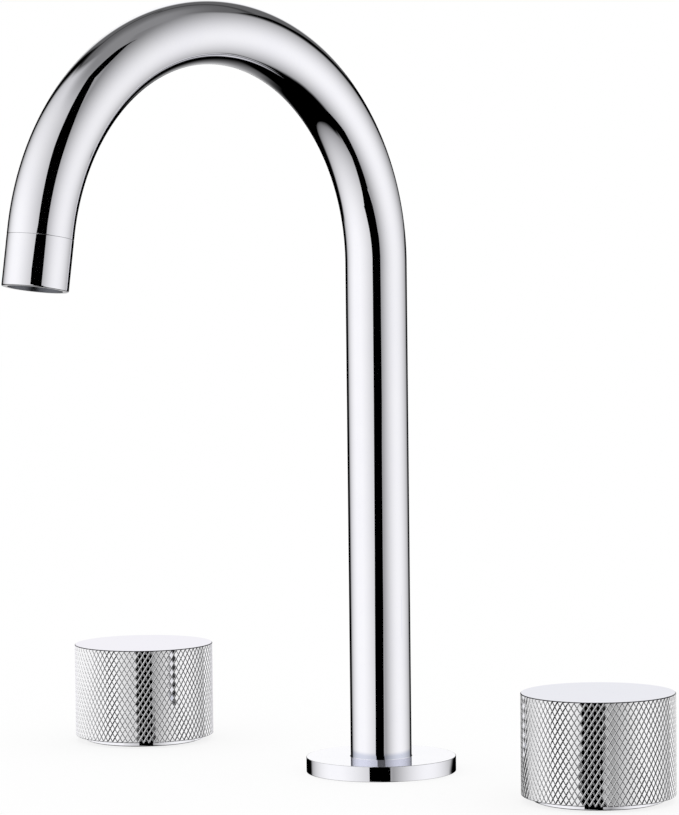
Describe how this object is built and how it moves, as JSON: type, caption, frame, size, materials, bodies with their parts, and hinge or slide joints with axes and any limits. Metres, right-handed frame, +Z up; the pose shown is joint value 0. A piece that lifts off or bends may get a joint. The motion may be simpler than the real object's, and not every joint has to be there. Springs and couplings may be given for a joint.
{
  "type": "widespread bathroom faucet",
  "caption": "Widespread basin faucet: tall swivelling gooseneck spout on a flange, with separate knurled hot and cold quarter-turn knobs and deck-mount shanks.",
  "frame": {"origin": "middle of the spout's foot on the deck's top", "axes": "+Z up from the deck, -Y the way the spout reaches over the basin, +X towards the cold handle"},
  "size_m": [0.2796, 0.1997, 0.3715],
  "materials": {
    "polished_chrome": "polished",
    "knurled_chrome": "polished, diamond knurled",
    "brass": "machined",
    "stainless_steel": "rolled",
    "black_rubber": "matte",
    "ceramic": "lapped",
    "aerator_plastic": "moulded",
    "acetal": "moulded"
  },
  "bodies": {
    "deck_set": {"spout_flange": "polished_chrome", "spout_gasket": "black_rubber", "spout_shank": "brass", "swivel_washer": "acetal", "spout_rubber_washer": "black_rubber", "spout_steel_washer": "stainless_steel", "spout_mounting_nut": "brass", "tee_washer": "black_rubber", "tee_nut": "brass", "tee_body": "brass", "hot_base_ring": "polished_chrome", "hot_base_gasket": "black_rubber", "hot_valve_body": "brass", "hot_outlet_nipple": "brass", "hot_rubber_washer": "black_rubber", "hot_steel_washer": "stainless_steel", "hot_mounting_nut": "brass", "hot_cartridge_body": "brass", "hot_cartridge_o_ring": "black_rubber", "hot_seat_seal": "black_rubber", "hot_lower_disc": "ceramic", "cold_base_ring": "polished_chrome", "cold_base_gasket": "black_rubber", "cold_valve_body": "brass", "cold_outlet_nipple": "brass", "cold_rubber_washer": "black_rubber", "cold_steel_washer": "stainless_steel", "cold_mounting_nut": "brass", "cold_cartridge_body": "brass", "cold_cartridge_o_ring": "black_rubber", "cold_seat_seal": "black_rubber", "cold_lower_disc": "ceramic"},
    "spout": {"spout_tube": "polished_chrome", "nozzle_shell": "polished_chrome", "aerator_washer": "black_rubber", "aerator_housing": "aerator_plastic", "aerator_screen": "stainless_steel", "aerator_flow_disc": "aerator_plastic", "aerator_sleeve": "aerator_plastic", "aerator_grid": "aerator_plastic", "swivel_stem": "brass", "swivel_o_rings": "black_rubber", "swivel_snap_ring": "stainless_steel"},
    "hot_knob": {"hot_upper_disc": "ceramic", "hot_stem": "brass", "hot_stem_o_rings": "black_rubber", "hot_stem_clip": "stainless_steel", "hot_knob_shell": "knurled_chrome", "hot_knob_adapter": "brass", "hot_knob_set_screw": "stainless_steel"},
    "cold_knob": {"cold_upper_disc": "ceramic", "cold_stem": "brass", "cold_stem_o_rings": "black_rubber", "cold_stem_clip": "stainless_steel", "cold_knob_shell": "knurled_chrome", "cold_knob_adapter": "brass", "cold_knob_set_screw": "stainless_steel"}
  },
  "joints": [
    {"name": "spout_swivel", "type": "hinge", "parent": "deck_set", "child": "spout", "pos_m": [0, 0, 0], "axis": [0, 0, 1], "continuous": true},
    {"name": "hot_turn", "type": "hinge", "parent": "deck_set", "child": "hot_knob", "pos_m": [-0.125, 0, 0], "axis": [0, 0, 1], "range_deg": [0, 90]},
    {"name": "cold_turn", "type": "hinge", "parent": "deck_set", "child": "cold_knob", "pos_m": [0.1016, 0, 0], "axis": [0, 0, 1], "range_deg": [-90, 0]}
  ]
}
